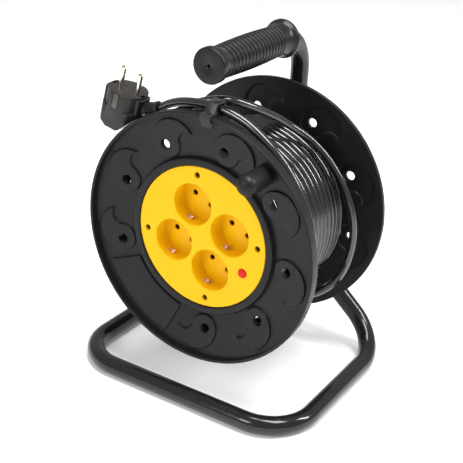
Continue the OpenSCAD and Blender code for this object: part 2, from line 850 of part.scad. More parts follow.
module clamp_screws() {
    color("#c8cacd") on_drum() translate(polar(lead_r, entry_angle) + [0, clamp_y, 0])
        rotate([0, -entry_angle, 0]) for (z = [-clamp_screw_at, clamp_screw_at])
            translate([0, 0, z]) rotate([0, 90, 0]) {
                translate([0, 0, -clamp_size.x / 2]) cylinder(h = clamp_size.x, r = screw_r);
                translate([0, 0, -clamp_size.x / 2 - 2]) cylinder(h = 2, r = screw_head_r);
            }
}

// A single core, from the clamp to its strip. It leaves the cord at [across, up], bends at
// y = bend_y and ends at point target
module core(across, up, bend_y, target) {
    bend = 3;
    start = polar(lead_r, entry_angle) + [across, clamp_y - clamp_size.y / 2, up];
    way = target - start;
    l = norm([way.x, way.z]);
    translate(start) rotate([0, -atan2(way.z, way.x), 0]) rotate([90, 0, 0])
        bent_bar([start.y - bend_y - bend, l - 2 * bend, bend_y - target.y - bend], [90, 90],
            [0, 180], [bend, bend], core_r);
}

module live_wire() {
    color("#7a4a2a") on_drum() core(0, 1.7, clamp_y - 8, live_end);
}

module neutral_wire() {
    color("#2f6fb5") on_drum() core(1.5, -0.85, clamp_y - 8, neutral_end);
}

module earth_wire() {
    color("#7fb03a") on_drum() core(-1.5, -0.85, carrier_y + carrier_t + 4.5, earth_end);
}

// ---------------------------------------------------------------- cord clip and crank

// The clip's outline, as [distance behind the front rim, radius]
module clip_outline() {
    inner = flange_r + gap;
    cord_top = inner + cord_d + 0.9;
    rear = front_rim_depth + cord_d + 1.2;
    difference() {
        polygon([[-clip_wall - gap, flange_r - rim_t - gap], [-clip_wall - gap, inner + clip_wall],
            [5, inner + clip_wall], [7.5, cord_top + clip_wall], [rear + clip_wall, cord_top + clip_wall],
            [rear + clip_wall, inner - 4], [rear, inner - 4], [rear, cord_top],
            [front_rim_depth, cord_top], [front_rim_depth - 1, inner], [-gap, inner],
            [-gap, flange_r - rim_t - gap], [web_y - pad_h - 0.6, flange_r - rim_t - gap],
            [web_y - pad_h - 0.6, flange_r - 10.5], [web_y - pad_h - 0.6 - clip_wall, flange_r - 10.5],
            [web_y - pad_h - 0.6 - clip_wall, flange_r - rim_t - gap - clip_wall],
            [-clip_wall - gap, flange_r - rim_t - gap - clip_wall]]);
    }
}

module cord_clip() {
    color("#3a3b3e") on_stand() rotate([0, 90 - clip_angle, 0])
        translate([-clip_width / 2, 0, 0]) rotate([90, 0, 90]) linear_extrude(clip_width) clip_outline();
}

module crank_pin() {
    back = web_back_y - 2;
    bead_y = knob_y - knob_l + knob_tip_wall + 3;
    color("#c8cacd") on_drum() translate(polar(knob_ring_r, knob_angle)) {
        bar_y(knob_y - knob_l + knob_tip_wall + 1, back, knob_pin_r);
        bar_y(back, back + 1.5, knob_pin_r + 2.5);
        translate([0, bead_y, 0]) rotate([-90, 0, 0]) rotate_extrude()
            polygon([[0, -1], [knob_pin_r, -1], [knob_pin_r + 0.5, 0], [knob_pin_r, 1], [0, 1]]);
    }
}

module crank_knob() {
    bore_r = knob_pin_r + 0.08;
    groove = knob_l - knob_tip_wall - 3;
    color("#2b2c2f") on_drum() translate(polar(knob_ring_r, knob_angle) + [0, knob_y, 0])
        rotate([90, 0, 0]) rotate_extrude() difference() {
            union() {
                polygon([[0, 0], [knob_r - 0.8, 0], [knob_r - 0.3, 1.5], [knob_r, knob_l - knob_r],
                    [0, knob_l - knob_r]]);
                intersection() {
                    translate([0, knob_l - knob_r]) circle(r = knob_r);
                    translate([0, knob_l - knob_r]) square(knob_r);
                }
            }
            translate([0, -through]) square([bore_r, knob_l - knob_tip_wall + through]);
            polygon([[0, groove - 1.6], [bore_r, groove - 1.6], [bore_r + 0.6, groove - 0.4],
                [bore_r + 0.6, groove + 0.4], [bore_r, groove + 1.6], [0, groove + 1.6]]);
        }
}

// ---------------------------------------------------------------- cord and plug

module cord_winding() {
    color("#0e0e10") on_drum() turned()
        translate([barrel_r + snug, winding_y]) square([layer_2_r + cord_r - barrel_r - snug, winding_l]);
}

module cord_tail() {
    color("#0e0e10") on_stand()
        swept(smoothed([for (q = tail_route) reel_point(q)]), cord_r, tail_sides);
}

// Plug: the origin is the middle of its pin face, and its pins point up
module on_plug() {
    on_stand() translate(plug_at) rotate([0, plug_tilt, 0]) children();
}

module plug_body() {
    color("#2a2b2e") on_plug() difference() {
        union() {
            translate([0, 0, -plug_puck_l]) cylinder(h = plug_puck_l, r = plug_r);
            intersection() {
                translate([0, 0, -40]) cylinder(h = 40, r = plug_block_r);
                translate([0, plug_block_w / 2, 0]) rotate([90, 0, 0]) linear_extrude(plug_block_w)
                    polygon(plug_block);
            }
            intersection() {
                translate([0, 0, -plug_puck_l]) cylinder(h = plug_puck_l - 2, r = plug_block_r);
                for (s = [-1, 1])
                    translate([s * plug_wing_at, 0, -plug_wing.z / 2]) cube(plug_wing, center = true);
            }
        }
        for (s = [-1, 1]) {
            translate([s * pin_pitch / 2, 0, -pin_root]) cylinder(h = pin_root + through, r = pin_root_r);
            translate([s * 16.5 - 1.6, -plug_notch / 2, -plug_puck_l + 2])
                cube([3.2, plug_notch, plug_puck_l]);
            translate([-3.2, s * plug_r - 1.2, -plug_puck_l + 2]) cube([6.4, 2.4, plug_puck_l]);
        }
        rod(boot_from - (boot_to - boot_from), boot_from, boot_root_r);
    }
}

module plug_pins() {
    color("#d8d9dc") on_plug() for (s = [-1, 1]) translate([s * pin_pitch / 2, 0, -pin_root]) {
        cylinder(h = pin_root + pin_neck, r = pin_root_r);
        translate([0, 0, pin_root + pin_neck]) cylinder(h = pin_l - 1 - pin_neck, r = pin_r);
        translate([0, 0, pin_root + pin_l - 1]) cylinder(h = 1, r1 = pin_r, r2 = pin_r - 0.8);
    }
}

module plug_earth_contacts() {
    color("#cfa35a") on_plug() for (s = [-1, 1])
        translate([-2.8, s * (plug_r - 0.6) - 0.5, -plug_puck_l + 2.2]) cube([5.6, 1, plug_puck_l - 3]);
}

module plug_boot() {
    v = boot_to - boot_from;
    l = norm(v);
    ribs = 5;
    rib_pitch = (l - 3.5) / ribs;
    color("#1f2022") on_plug() translate(boot_from) rotate([0, acos(v.z / l), atan2(v.y, v.x)])
        rotate_extrude() polygon(concat([[0, -boot_root_l], [boot_root_r - snug, -boot_root_l],
                [boot_root_r - snug, 0.1]],
            [for (i = [0:ribs - 1], s = [0, 1, 2, 3])
                [(s < 2 ? 6.6 : 5.2) - 0.15 * i, 0.1 + (i + [0, 0.5, 0.5, 1][s]) * rib_pitch]],
            [[6.4, l - 3.2], [6.4, l], [cord_r, l], [cord_r, l - 2], [0, l - 2]]));
}

base_tube();
upright_tube();
column_cap();
handle_grip();
axle_bolt();
axle_nut();
saddle_washers();
spacer_sleeve();
friction_washer();
front_flange();
rear_flange();
drum_barrel();
tie_screws();
hub_bushes();
retaining_washer();
socket_face();
well_upper();
well_right();
well_left();
well_lower();
face_screws();
contact_carrier();
carrier_screws();
live_strip();
neutral_strip();
earth_strip();
thermal_cutout();
reset_button();
button_spring();
cord_grommet();
inner_lead();
cord_clamp();
clamp_screws();
live_wire();
neutral_wire();
earth_wire();
cord_clip();
crank_pin();
crank_knob();
cord_winding();
cord_tail();
plug_body();
plug_pins();
plug_earth_contacts();
plug_boot();
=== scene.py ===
"""Extension cord reel: the looks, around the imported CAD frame.

Lengths are in millimetres until a mesh is made. Shapes are drawn from the middle of the
front rim, with X to the right, Y to the rear and Z up, and then put on the stand.
"""
import json
import math
import random

import bmesh
import bpy
import numpy as np
from mathutils import Matrix, Vector
from mathutils.geometry import delaunay_2d_cdt

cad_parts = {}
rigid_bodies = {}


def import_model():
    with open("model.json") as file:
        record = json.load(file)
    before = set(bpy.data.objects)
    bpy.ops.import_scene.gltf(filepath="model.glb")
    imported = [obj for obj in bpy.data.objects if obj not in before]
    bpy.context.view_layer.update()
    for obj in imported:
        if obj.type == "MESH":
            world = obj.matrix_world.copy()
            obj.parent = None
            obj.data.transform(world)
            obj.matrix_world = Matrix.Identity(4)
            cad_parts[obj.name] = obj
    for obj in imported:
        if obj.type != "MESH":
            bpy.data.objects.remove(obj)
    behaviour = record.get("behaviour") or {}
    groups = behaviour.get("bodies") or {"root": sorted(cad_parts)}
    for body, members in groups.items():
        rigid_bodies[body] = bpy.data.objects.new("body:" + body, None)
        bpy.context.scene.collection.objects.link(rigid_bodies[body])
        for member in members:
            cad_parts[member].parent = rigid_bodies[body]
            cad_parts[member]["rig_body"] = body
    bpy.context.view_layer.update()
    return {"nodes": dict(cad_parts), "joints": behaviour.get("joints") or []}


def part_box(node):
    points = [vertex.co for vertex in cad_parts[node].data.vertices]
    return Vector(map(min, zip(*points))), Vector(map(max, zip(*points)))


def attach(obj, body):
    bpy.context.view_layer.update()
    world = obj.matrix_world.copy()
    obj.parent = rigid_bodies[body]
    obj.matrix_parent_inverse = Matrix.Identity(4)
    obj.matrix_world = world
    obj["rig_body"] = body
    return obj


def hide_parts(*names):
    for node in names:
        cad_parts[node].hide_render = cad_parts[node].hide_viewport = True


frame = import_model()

random.seed(11)

MM = 0.001
DRUM_SPIN = next(j for j in frame["joints"] if j["name"] == "drum_spin")
RIM_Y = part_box("front_flange")[0].y / MM
AXIS_Z = DRUM_SPIN["pos_m"][2] / MM
DRUM_ANGLE = math.radians(25.2)

# The drum, from the front rim
FLANGE_R = 120.0
RIM_T = 3.0
RIM_DEPTH = 10.0
WEB_IN_R = 77.0
WEB_OUT_R = FLANGE_R - RIM_T
WEB_Y = 6.5
DISH = 6.9
WEB_T = 2.5
PAD_H = 2.2
RECESS_H = 1.2
PADS = 9
PAD_STEP = 360 / PADS
PAD_RING_R = 90.5
PAD_HOLE_R = 4.6
FRONT_PAD_ANGLE = 21.6
REAR_PAD_ANGLE = 11.7
LABEL_PAD = 6
LABEL_ANGLE = 256.2
LABEL_HALF_ANGLE = 23.0
LABEL_SKEW = 1.4
LABEL_MID_R = 94.5
LABEL_HALF_H = 16.5
BARREL_R = 72.0
SPIGOT_OUT_R = 69.3
SPIGOT_IN_R = 66.8
SPIGOT_L = 8.0
WEB_BACK_Y = 15.9
LEDGE_Y = 14.0
FACE_Y = 11.0
FACE_R = 67.7
RING_R = 68.3
RING_WALL = 7.2
REAR_PLATE_Y = 140.2
REAR_BACK_Y = 142.7
DRUM_DEPTH = 145.0
HUB_R = 14.1
HUB_BORE_R = 9.1
HUB_END_Y = 88.5

# Sockets
HALF_PITCH = 22.35
WELL_R = 19.75
MOUTH_R = 20.55
WELL_FLOOR_Y = 28.5
PIN_PITCH = 19.0
PIN_HOLE_R = 2.75
SCREW_HOLE_R = 2.95
SCREW_RING_R = 59.6
SCREW_ANGLE = 31.7
SCREW_POST_R = 6.4
TIE_SCREW_RING_R = 62.5
TIE_POST_R = 4.0
BUTTON_AT = 50.4
BUTTON_R = 4.3

# Crank knob
KNOB_RING_R = 102.0
KNOB_ANGLE = 76.2
KNOB_R = 9.6
KNOB_L = 36.0
KNOB_ROOT_Y = 5.66
KNOB_BORE_R = 3.1
KNOB_BORE_L = 20.0

# Grip
HANDLE_H = 159.3
GRIP_FRONT_Y = 11.4
GRIP_L = 125.6
GRIP_R = 14.4
GRIP_BORE_R = 9.1
GRIP_RIBS = 17
GRIP_RIB_STEP = 5.7
GRIP_RIB_FROM = 14.0
GRIP_BULGE = 1.2
GRIP_FLARE_L = 12.0

# Cord
CORD_D = 7.8
CORD_PITCH = 7.85
LAYER_1_R = 76.0
LAYER_2_R = 82.74
ENTRY_ANGLE = 200 - 25.2
FRONT_TURN_Y = 20.6
REAR_TURN_Y = 122.375
TURNS_1 = 13
TURNS_2 = 12
LAST_ANGLE = 256.0
CLIMB = 100.0           # degrees over which the cord climbs to its second layer
CROSSING_RISE = 0.9

# Camera, as fitted to the photograph's view
CAMERA_AT = (449.91, -681.62, 396.79)
CAMERA_AZIMUTH = 31.107
CAMERA_ELEVATION = 25.21
CAMERA_ROLL = 3.254
CAMERA_LENS = 78.85

# Sides of the round shapes
RIM_SIDES = 192
ROUND_SIDES = 96
HOLE_SIDES = 48


# ------------------------------------------------------------------ placing
def stand(p):
    """A point drawn from the middle of the front rim, in the row frame, in metres."""
    return Vector((p[0], p[1] + RIM_Y, p[2] + AXIS_Z)) * MM


def drum(p):
    """The same for a point on the drum, which is turned clockwise."""
    c, s = math.cos(DRUM_ANGLE), math.sin(DRUM_ANGLE)
    return stand((p[0] * c + p[2] * s, p[1], -p[0] * s + p[2] * c))


def polar(r, degrees, y=0.0):
    a = math.radians(degrees)
    return Vector((r * math.cos(a), y, r * math.sin(a)))


# ------------------------------------------------------------------ materials
def node_material(name):
    m = bpy.data.materials.new(name)
    m.use_nodes = True
    tree = m.node_tree
    shader = tree.nodes["Principled BSDF"]
    return m, tree, shader


def noise(tree, scale, detail=3.0, rough=0.55, stretch=None):
    """A noise texture in object space, with scale in cycles per metre."""
    place = tree.nodes.new("ShaderNodeTexCoord")
    tex = tree.nodes.new("ShaderNodeTexNoise")
    tex.inputs["Scale"].default_value = scale
    tex.inputs["Detail"].default_value = detail
    tex.inputs["Roughness"].default_value = rough
    if stretch:
        mapping = tree.nodes.new("ShaderNodeMapping")
        mapping.inputs["Scale"].default_value = stretch
        tree.links.new(place.outputs["Object"], mapping.inputs["Vector"])
        tree.links.new(mapping.outputs["Vector"], tex.inputs["Vector"])
    else:
        tree.links.new(place.outputs["Object"], tex.inputs["Vector"])
    return tex.outputs["Fac"]


def ramp(tree, source, low, high, start=0.35, end=0.65):
    node = tree.nodes.new("ShaderNodeMapRange")
    node.inputs["From Min"].default_value = start
    node.inputs["From Max"].default_value = end
    node.inputs["To Min"].default_value = low
    node.inputs["To Max"].default_value = high
    tree.links.new(source, node.inputs["Value"])
    return node.outputs["Result"]


def mix_colours(tree, source, a, b):
    node = tree.nodes.new("ShaderNodeMix")
    node.data_type = "RGBA"
    node.inputs["A"].default_value = (*a, 1)
    node.inputs["B"].default_value = (*b, 1)
    tree.links.new(source, node.inputs["Factor"])
    return node.outputs["Result"]


def bumps(tree, shader, layers):
    """Bump from several heights, each as (source, strength, distance in mm)."""
    normal = None
    for source, strength, distance in layers:
        node = tree.nodes.new("ShaderNodeBump")
        node.inputs["Strength"].default_value = strength
        node.inputs["Distance"].default_value = distance * MM
        tree.links.new(source, node.inputs["Height"])
        if normal:
            tree.links.new(normal, node.inputs["Normal"])
        normal = node.outputs["Normal"]
    tree.links.new(normal, shader.inputs["Normal"])


def plastic(name, colour, rough, grain=2600, grain_depth=0.012, shade=0.82, coat=0.0, spread=0.06,
            specular=0.5):
    """Moulded plastic or rubber: fine grain, slow waves of the mould, uneven gloss."""
    m, tree, shader = node_material(name)
    dark = tuple(c * shade for c in colour)
    blotch = ramp(tree, noise(tree, 38, 4), 0, 1)
    tree.links.new(mix_colours(tree, blotch, dark, colour), shader.inputs["Base Color"])
    gloss = ramp(tree, noise(tree, 90, 5, 0.6), rough - spread, rough + spread)
    tree.links.new(gloss, shader.inputs["Roughness"])
    fine = noise(tree, grain, 2, 0.5)
    slow = noise(tree, 22, 1, 0.4)
    bumps(tree, shader, [(slow, 0.35, 0.25), (fine, 0.6, grain_depth)])
    shader.inputs["Specular IOR Level"].default_value = specular
    shader.inputs["Coat Weight"].default_value = coat
    shader.inputs["Coat Roughness"].default_value = 0.08
    return m


def metal(name, colour, rough, stretch=None, scale=900, depth=0.01, spread=0.06):
    """Bare metal with fine lines or grain, worn unevenly."""
    m, tree, shader = node_material(name)
    shader.inputs["Metallic"].default_value = 1.0
    worn = ramp(tree, noise(tree, 160, 5, 0.65), 0, 1)
    dull = tuple(c * 0.84 for c in colour)
    tree.links.new(mix_colours(tree, worn, dull, colour), shader.inputs["Base Color"])
    lines = noise(tree, scale, 3, 0.6, stretch)
    tree.links.new(ramp(tree, lines, rough - spread, rough + spread), shader.inputs["Roughness"])
    bumps(tree, shader, [(lines, 0.4, depth)])
    return m


def paint(name, colour):
    """Gloss paint with the orange peel of a dipped tube, and a little dust on its top."""
    m, tree, shader = node_material(name)
    up = tree.nodes.new("ShaderNodeNewGeometry")
    split = tree.nodes.new("ShaderNodeSeparateXYZ")
    tree.links.new(up.outputs["Normal"], split.inputs["Vector"])
    top = ramp(tree, split.outputs["Z"], 0, 0.5, 0.3, 1.0)
    specks = tree.nodes.new("ShaderNodeMath")
    specks.operation = "MULTIPLY"
    tree.links.new(top, specks.inputs[0])
    tree.links.new(ramp(tree, noise(tree, 420, 6, 0.7), 0, 1, 0.5, 0.75), specks.inputs[1])
    pale = tuple(c + 0.03 for c in colour)
    tree.links.new(mix_colours(tree, specks.outputs[0], colour, pale), shader.inputs["Base Color"])
    tree.links.new(ramp(tree, noise(tree, 70, 4), 0.13, 0.2), shader.inputs["Roughness"])
    bumps(tree, shader, [(noise(tree, 55, 1, 0.4), 0.2, 0.1), (noise(tree, 700, 2), 0.2, 0.008)])
    shader.inputs["Specular IOR Level"].default_value = 0.3
    shader.inputs["Coat Weight"].default_value = 0.3
    shader.inputs["Coat Roughness"].default_value = 0.06
    return m


MATERIALS = {
    "painted_tube": paint("tube_paint", (0.0075, 0.0075, 0.009)),
    "grip_rubber": plastic("grip_rubber", (0.009, 0.009, 0.0105), 0.3, 1500, 0.03, specular=0.28),
    "zinc_steel": metal("zinc_steel", (0.62, 0.63, 0.66), 0.3, None, 700),
    "black_plastic": plastic("black_plastic", (0.012, 0.012, 0.0125), 0.38, 2300, 0.012,
                             specular=0.2),
    "yellow_plastic": plastic("yellow_plastic", (0.86, 0.5, 0.002), 0.32, 2600, 0.006, 0.97,
                              specular=0.16),
    "bush_plastic": plastic("bush_plastic", (0.75, 0.72, 0.62), 0.4, shade=0.93),
    "brass_strip": metal("brass_strip", (0.83, 0.6, 0.27), 0.25, (1, 1, 6)),
    "copper_strip": metal("copper_strip", (0.86, 0.45, 0.27), 0.2, (1, 1, 5), 600),
    "grey_plastic": plastic("grey_plastic", (0.09, 0.09, 0.1), 0.45),
    "cord_sheath": plastic("cord_sheath", (0.006, 0.006, 0.0065), 0.17, 1100, 0.006, 0.7, coat=0.3,
                           spread=0.03, specular=0.75),
    "core_brown": plastic("core_brown", (0.12, 0.05, 0.025), 0.35),
    "core_blue": plastic("core_blue", (0.03, 0.13, 0.42), 0.35),
    "core_green": plastic("core_green", (0.2, 0.42, 0.05), 0.35),
    "clip_plastic": plastic("clip_plastic", (0.02, 0.02, 0.022), 0.34, 1700, 0.02, specular=0.35),
    "plug_plastic": plastic("plug_plastic", (0.019, 0.0175, 0.0168), 0.36, 1500, 0.02,
                            specular=0.35),
    "pin_metal": metal("pin_metal", (0.86, 0.8, 0.7), 0.16, (1, 1, 0.3), 500, 0.004, 0.04),
    "button_red": plastic("button_red", (0.62, 0.01, 0.007), 0.3, 1200, 0.004, 0.95, specular=0.2),
}


# ------------------------------------------------------------------ meshes
def piece(name, body, slot, verts, faces, replaces=(), sharp=38.0, place=drum):
    """A new piece from vertices in millimetres, on a CAD body."""
    mesh = bpy.data.meshes.new(name)
    mesh.from_pydata([place(v) for v in verts], [], faces)
    bm = bmesh.new()
    bm.from_mesh(mesh)
    bmesh.ops.remove_doubles(bm, verts=bm.verts, dist=0.02 * MM)
    bmesh.ops.dissolve_degenerate(bm, edges=bm.edges, dist=0.002 * MM)
    bmesh.ops.recalc_face_normals(bm, faces=bm.faces)
    bm.to_mesh(mesh)
    bm.free()
    return finish_piece(name, body, slot, mesh, replaces, sharp)


def finish_piece(name, body, slot, mesh, replaces=(), sharp=38.0):
    mesh.polygons.foreach_set("use_smooth", [True] * len(mesh.polygons))
    mesh.set_sharp_from_angle(angle=math.radians(sharp))
    mesh.materials.clear()
    mesh.materials.append(MATERIALS[slot])
    obj = bpy.data.objects.new(name, mesh)
    bpy.context.scene.collection.objects.link(obj)
    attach(obj, body)
    if replaces:
        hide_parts(*replaces)
    return obj


class Parts:
    """Collects vertices and faces of one piece."""

    def __init__(self):
        self.verts = []
        self.faces = []

    def add(self, verts, faces):
        start = len(self.verts)
        self.verts += [tuple(v) for v in verts]
        self.faces += [tuple(i + start for i in f) for f in faces]

    def lathe(self, profile, sides=128, at=(0.0, 0.0), frame_of=None):
        """Turns a profile of (radius, y) about a line along Y."""
        verts = []
        for r, y in profile:
            for k in range(sides):
                a = 2 * math.pi * k / sides
                p = Vector((at[0] + r * math.cos(a), y, at[1] + r * math.sin(a)))
                verts.append(frame_of(p) if frame_of else p)
        faces = []
        for i in range(len(profile) - 1):
            for k in range(sides):
                n = (k + 1) % sides
                faces.append((i * sides + k, i * sides + n, (i + 1) * sides + n, (i + 1) * sides + k))
        self.add(verts, faces)

    def make(self, name, body, slot, replaces=(), sharp=38.0, place=drum):
        return piece(name, body, slot, self.verts, self.faces, replaces, sharp, place)


def rounded(points, steps=3):
    """A profile of (r, y) or (r, y, radius), with the corners that have a radius rounded."""
    out = []
    for i, p in enumerate(points):
        if len(p) < 3 or i in (0, len(points) - 1):
            out.append((p[0], p[1]))
            continue
        b = Vector(p[:2])
        a, c = Vector(points[i - 1][:2]) - b, Vector(points[i + 1][:2]) - b
        reach = min(p[2] / math.tan(a.angle(c) / 2), a.length * 0.49, c.length * 0.49)
        start, end = b + a.normalized() * reach, b + c.normalized() * reach
        for k in range(steps + 1):
            t = k / steps
            q = start * (1 - t) ** 2 + b * 2 * t * (1 - t) + end * t ** 2
            out.append((q.x, q.y))
    return out


# ------------------------------------------------------------------ cord, made first
TAIL_ROUTE = [
    (-104, 86, 122), (-90, 89, 123), (-75, 96, 122), (-60, 103, 121), (-45, 106, 120),
    (-30, 106, 118), (-15, 104, 116), (0, 102, 115), (15, 99, 114), (30, 96, 113), (45, 95, 111),
    (58, 96, 106), (67, 100, 96), (74, 107, 82), (80, 115, 65), (85, 122, 48), (90, 125, 36),
    (97, 123, 31), (106, 118, 30), (118, 111, 28), (132, 104, 26), (147, 99, 24), (162, 97.5, 22.5),
    (180, 99.5, 22), (199, 102, 22), (217, 102.5, 22), (235, 102, 22), (253, 100.5, 22),
    (272, 98.5, 22), (291, 94.5, 22), (310, 92.5, 21.5), (325, 96, 20), (340, 104, 17.5),
    (354, 110.5, 15.5), (370, 113, 14.5), (390, 115, 14.5), (405, 117.5, 14.5), (420, 120.5, 14.5),
    (433, 123.5, 14.5), (446, 124.6, 14.5), (458, 124.4, 16), (468, 123.6, 19.5), (478.7, 121.6, 24)]
PER_KNOT = 7
TURN_KNOTS = (13, 19)   # the knots where the loose cord turns in towards the front flange
STEP_FROM = 196.0       # where each turn steps over to the next, as an angle round the reel
STEP_OVER = 46.0
PER_TURN = 60


def smoothstep(t):
    t = min(1.0, max(0.0, t))
    return t * t * (3 - 2 * t)


def winding_points():
    """Two layers of neat turns: each turn runs true, then steps over to the next."""
    points = []
    climb_end = ENTRY_ANGLE + 360 * TURNS_1 + 300
    end = LAST_ANGLE + 360 * (TURNS_1 + 1 + TURNS_2)
    steps = int((end - ENTRY_ANGLE) / 360 * PER_TURN)
    sway = [random.uniform(0, 6.28) for _ in range(2)]
    for i in range(steps):
        a = ENTRY_ANGLE + (end - ENTRY_ANGLE) * i / steps
        passed = (a - STEP_FROM) / 360
        whole = math.floor(passed)
        over = smoothstep((passed - whole) * 360 / STEP_OVER) if passed >= 0 else 0.0
        done = max(0.0, whole + over) if passed >= 0 else 0.0
        climb = smoothstep((a - climb_end + 60) / CLIMB)
        hop = math.sin(math.pi * over) ** 2 if 0 < over < 1 and climb > 0.99 else 0.0
        y_1 = REAR_TURN_Y - CORD_PITCH * min(done, TURNS_1)
        back = max(0.0, done - TURNS_1 - 0.5)
        y_2 = FRONT_TURN_Y + CORD_PITCH * (0.5 + min(back, TURNS_2 + 0.35))
        y = y_1 * (1 - climb) + y_2 * climb
        r = LAYER_1_R * (1 - climb) + LAYER_2_R * climb + CROSSING_RISE * hop
        wobble = 0.12 * math.sin(math.radians(a) * 1.7 + sway[0]) + 0.08 * math.sin(
            math.radians(a) * 3.1 + sway[1])
        points.append(polar(r + abs(wobble) * climb, a, y + 0.6 * wobble * climb))
    return points


def route_points(route, each):
    """A smooth curve through a route of (angle, radius, y)."""
    points = []
    n = len(route)
    for i in range(n - 1):
        p = [Vector(route[max(0, min(n - 1, i + k))]) for k in (-1, 0, 1, 2)]
        for j in range(each):
            t = j / each
            q = 0.5 * (2 * p[1] + (p[2] - p[0]) * t + (2 * p[0] - 5 * p[1] + 4 * p[2] - p[3]) * t ** 2
                       + (3 * p[1] - p[0] - 3 * p[2] + p[3]) * t ** 3)
            points.append(polar(q[1], q[0], q[2]))
    points.append(polar(route[-1][1], route[-1][0], route[-1][2]))
    return points


def eased(points, first, last, passes):
    """Opens out the bends between two places along a line of points."""
    for _ in range(passes):
        for i in range(first, last):
            points[i] = (points[i - 1] + points[i] * 2 + points[i + 1]) / 4


def make_cord():
    wound = winding_points()
    tail = route_points(TAIL_ROUTE, PER_KNOT)
    eased(tail, TURN_KNOTS[0] * PER_KNOT, TURN_KNOTS[1] * PER_KNOT, 44)
    points = wound[:-4] + tail[4:]
    eased(points, len(wound) - 16, len(wound) + 10, 4)
    curve = bpy.data.curves.new("cord", "CURVE")
    curve.dimensions = "3D"
    curve.bevel_depth = CORD_D / 2 * MM
    curve.bevel_resolution = 5
    curve.use_fill_caps = True
    spline = curve.splines.new("POLY")
    spline.points.add(len(points) - 1)
    spline.use_smooth = True
    placed = [stand(p) for p in points]
    for point, p in zip(spline.points, placed):
        point.co = (*p, 1)
    curve.materials.append(MATERIALS["cord_sheath"])
    obj = bpy.data.objects.new("cord", curve)
    bpy.context.scene.collection.objects.link(obj)
    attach(obj, "drum")
    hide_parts("cord_winding", "cord_tail")
    return obj


# ------------------------------------------------------------------ camera, lights and stage
def make_camera():
    azimuth, elevation, roll = (math.radians(a)
                                for a in (CAMERA_AZIMUTH, CAMERA_ELEVATION, CAMERA_ROLL))
    forward = Vector((-math.sin(azimuth) * math.cos(elevation),
                      math.cos(azimuth) * math.cos(elevation), -math.sin(elevation)))
    right = Vector((math.cos(azimuth), math.sin(azimuth), 0))
    up = right.cross(forward)
    side = right * math.cos(roll) + up * math.sin(roll)
    top = up * math.cos(roll) - right * math.sin(roll)
    data = bpy.data.cameras.new("camera")
    data.sensor_width = 36
    data.lens = CAMERA_LENS
    data.clip_end = 50
    camera = bpy.data.objects.new("camera", data)
    turn = Matrix((side, top, -forward)).transposed().to_4x4()
    camera.matrix_world = Matrix.Translation(stand(CAMERA_AT)) @ turn
    bpy.context.scene.collection.objects.link(camera)
    bpy.context.scene.camera = camera


def area_light(name, at, aim, size, power, size_y=None, colour=(1, 1, 1)):
    data = bpy.data.lights.new(name, "AREA")
    data.energy = power
    data.color = colour
    data.size = size
    if size_y:
        data.shape = "RECTANGLE"
        data.size_y = size_y
    light = bpy.data.objects.new(name, data)
    light.location = at
    light.rotation_mode = "QUATERNION"
    light.rotation_quaternion = (Vector(aim) - Vector(at)).to_track_quat("-Z", "Y")
    bpy.context.scene.collection.objects.link(light)


def make_stage():
    bpy.context.scene.view_settings.view_transform = "Standard"
    world = bpy.data.worlds.new("studio")
    world.use_nodes = True
    background = world.node_tree.nodes["Background"]
    background.inputs["Color"].default_value = (1, 1, 1, 1)
    background.inputs["Strength"].default_value = 0.5
    tree = world.node_tree
    white = tree.nodes.new("ShaderNodeBackground")
    white.inputs["Color"].default_value = (1, 1, 1, 1)
    white.inputs["Strength"].default_value = 1.0
    seen = tree.nodes.new("ShaderNodeLightPath")
    either = tree.nodes.new("ShaderNodeMixShader")
    tree.links.new(seen.outputs["Is Camera Ray"], either.inputs["Fac"])
    tree.links.new(background.outputs["Background"], either.inputs[1])
    tree.links.new(white.outputs["Background"], either.inputs[2])
    tree.links.new(either.outputs["Shader"], tree.nodes["World Output"].inputs["Surface"])
    bpy.context.scene.world = world
    mesh = bpy.data.meshes.new("floor")
    far = 30
    mesh.from_pydata([(-far, -far, 0), (far, -far, 0), (far, far, 0), (-far, far, 0)], [],
                     [(0, 1, 2, 3)])
    m, tree, shader = node_material("paper")
    shade = ramp(tree, noise(tree, 3, 2), 0, 1)
    tree.links.new(mix_colours(tree, shade, (0.93, 0.93, 0.93), (0.95, 0.95, 0.95)),
                   shader.inputs["Base Color"])
    shader.inputs["Roughness"].default_value = 0.7
    shader.inputs["Emission Color"].default_value = (1, 1, 1, 1)
    shader.inputs["Emission Strength"].default_value = 0.12
    mesh.materials.append(m)
    floor = bpy.data.objects.new("floor", mesh)
    bpy.context.scene.collection.objects.link(floor)
    middle = (0, 0, 0.15)
    area_light("key", (-0.5, -2.0, 1.2), middle, 0.7, 15)
    area_light("top", (0.25, -0.1, 1.8), middle, 0.6, 36, 1.3)
    area_light("rim", (1.5, 0.7, 1.5), middle, 0.25, 26, 1.0)


# ------------------------------------------------------------------ pressed webs with pads
COMMA_BIG_R = 22.0
COMMA_HEAD_R = 13.5
COMMA_HEAD_AT = 1.5
COMMA_BITE_R = 9.5
COMMA_BITE_AT = (24.0, -5.0)
COMMA_REACH = COMMA_BIG_R - (COMMA_HEAD_R - COMMA_HEAD_AT)
LABEL_CORNER_R = 3.0

# A pad's edge: distances inside its outline, and the share of its height at each
PAD_LEVELS = (-0.45, -0.15, 0.0, 0.3, 0.55, 0.9, 1.4)
PAD_SHARES = (0.0, 0.04, 0.14, 0.72, 0.9, 0.98, 1.0)
PAD_POINT_STEP = 0.62
EDGE_STEPS = (0.0, 0.25, 0.7)      # distances from a hole that its rounded edge has points at


